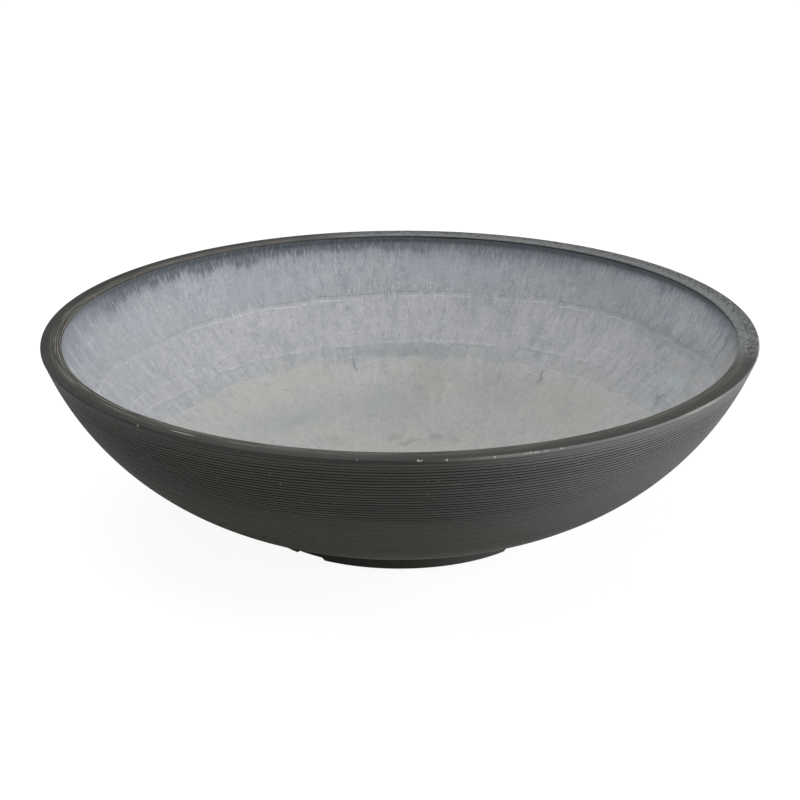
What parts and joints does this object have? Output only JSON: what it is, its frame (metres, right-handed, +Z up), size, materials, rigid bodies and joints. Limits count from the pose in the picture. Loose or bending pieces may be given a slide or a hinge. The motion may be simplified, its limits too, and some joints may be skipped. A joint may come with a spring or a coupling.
{
  "type": "bowl planter",
  "caption": "Wide, shallow round bowl planter with a flat rim, fine grooves around the outside, a low notched foot ring and a drain hole closed by a lift-out plug.",
  "frame": {"origin": "centre of the foot ring's underside, on the ground", "axes": "+Z up along the bowl's axis; -Y faces the viewer; the first foot notch lies 51.5 degrees from +X towards +Y"},
  "size_m": [0.5599, 0.56, 0.153],
  "materials": {
    "bowl_shell": "satin",
    "plug_rubber": "matte"
  },
  "bodies": {
    "bowl_body": {"bowl": "bowl_shell"},
    "plug_body": {"drain_plug": "plug_rubber"}
  },
  "joints": [
    {"name": "plug_lift", "type": "slide", "parent": "bowl_body", "child": "plug_body", "axis": [0, 0, 1], "range_m": [0, 0.16]}
  ]
}
